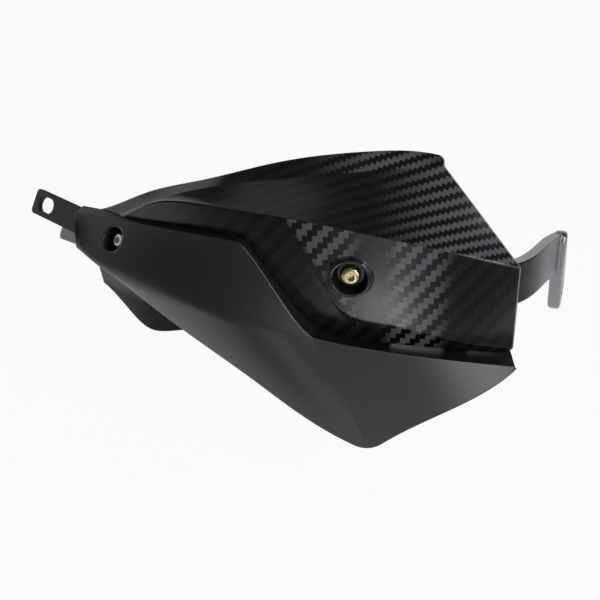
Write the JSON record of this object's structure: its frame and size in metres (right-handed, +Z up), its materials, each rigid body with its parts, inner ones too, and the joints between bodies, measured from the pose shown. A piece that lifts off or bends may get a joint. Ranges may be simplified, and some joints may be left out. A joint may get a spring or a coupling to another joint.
{
  "type": "motorcycle hand guard",
  "caption": "Motorcycle hand guard: carbon-look shell on a bent flat bar with a lower wind deflector, slotted inner strap and bar-end eye; shields the rider's hand on the grip.",
  "frame": {"origin": "middle of the bar-end hole, half way through the bar", "axes": "+X along the handlebar toward its outer end, +Y rearward to the rider, +Z up"},
  "size_m": [0.3439, 0.1589, 0.1603],
  "materials": {
    "cover": "satin black with a twill carbon-fibre look",
    "deflector": "satin black moulding",
    "bar": "satin, bare",
    "strap": "satin black",
    "cup": "gloss black",
    "spacer": "matt black",
    "steel": "bright zinc",
    "yellow_screw": "yellow zinc"
  },
  "bodies": {
    "root": {"carbon_cover": "cover", "wind_deflector": "deflector", "mounting_bar": "bar", "inner_strap": "strap", "centre_cup": "cup", "centre_washer": "steel", "centre_screw": "yellow_screw", "centre_spacer": "spacer", "centre_nut": "steel", "inner_screw": "steel", "inner_nut": "steel", "deflector_screws": "steel"}
  },
  "joints": []
}
